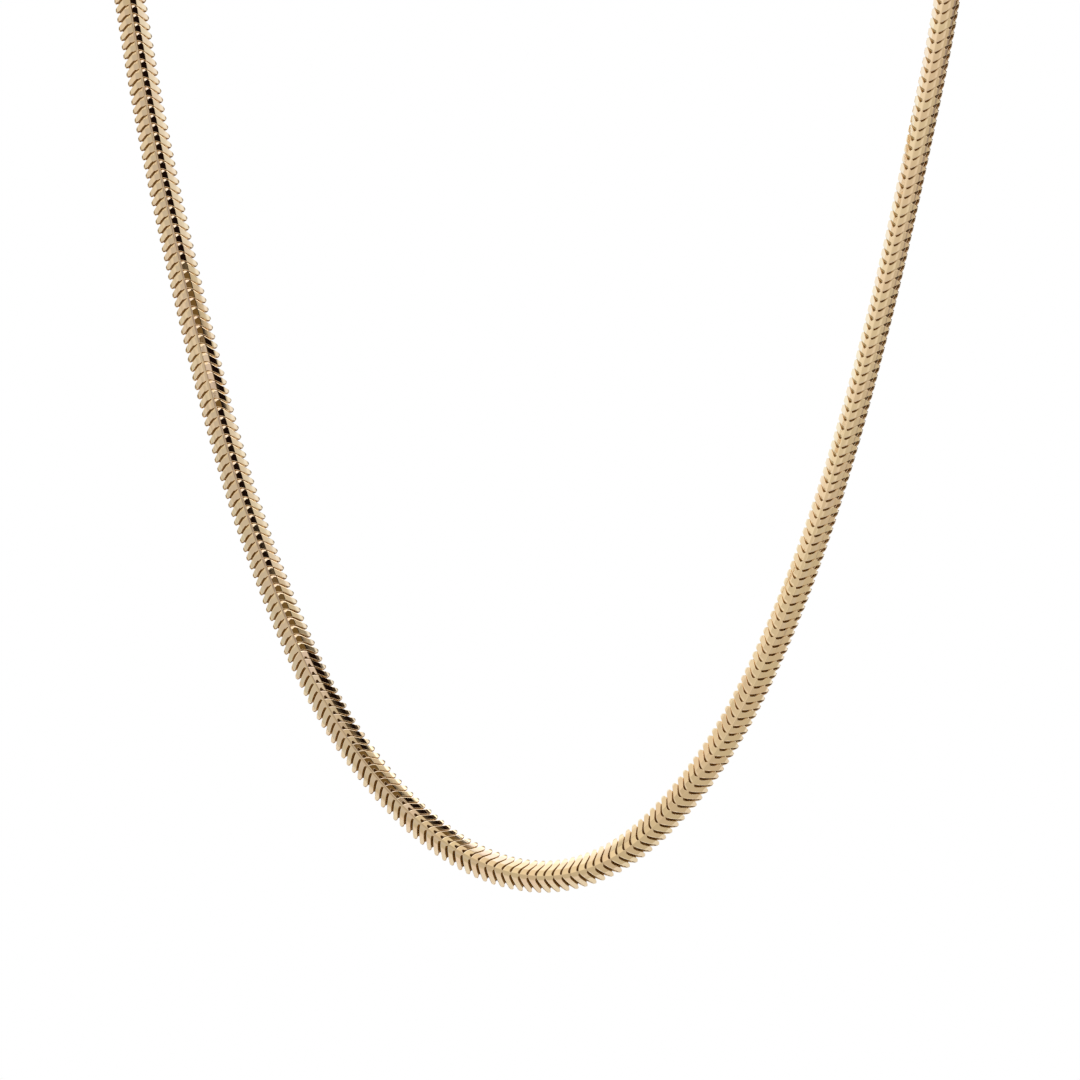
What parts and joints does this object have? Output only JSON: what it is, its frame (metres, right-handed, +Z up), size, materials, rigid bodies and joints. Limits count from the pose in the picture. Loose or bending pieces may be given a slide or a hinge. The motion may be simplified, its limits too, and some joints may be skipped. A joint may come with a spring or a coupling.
{
  "type": "herringbone chain necklace",
  "caption": "Closed herringbone neck chain: nested V-shaped polished gold links form a flat ridged band, hanging in a deep U, with end caps and a hook clasp at the nape.",
  "frame": {"origin": "the nape of the neck, at the inner side of the clasp, midway between the two end caps", "axes": "+Z up, -Y the way the wearer faces, +X to the right of someone looking at the wearer"},
  "size_m": [0.1151, 0.1088, 0.1339],
  "materials": {
    "band_gold": "polished pale yellow gold",
    "fitting_gold": "polished pale yellow gold"
  },
  "bodies": {
    "root": {"chain_left": "band_gold", "chain_right": "band_gold", "end_cap_left": "fitting_gold", "end_cap_right": "fitting_gold", "clasp_link": "fitting_gold", "clasp": "fitting_gold", "catch_ring": "fitting_gold"}
  },
  "joints": []
}
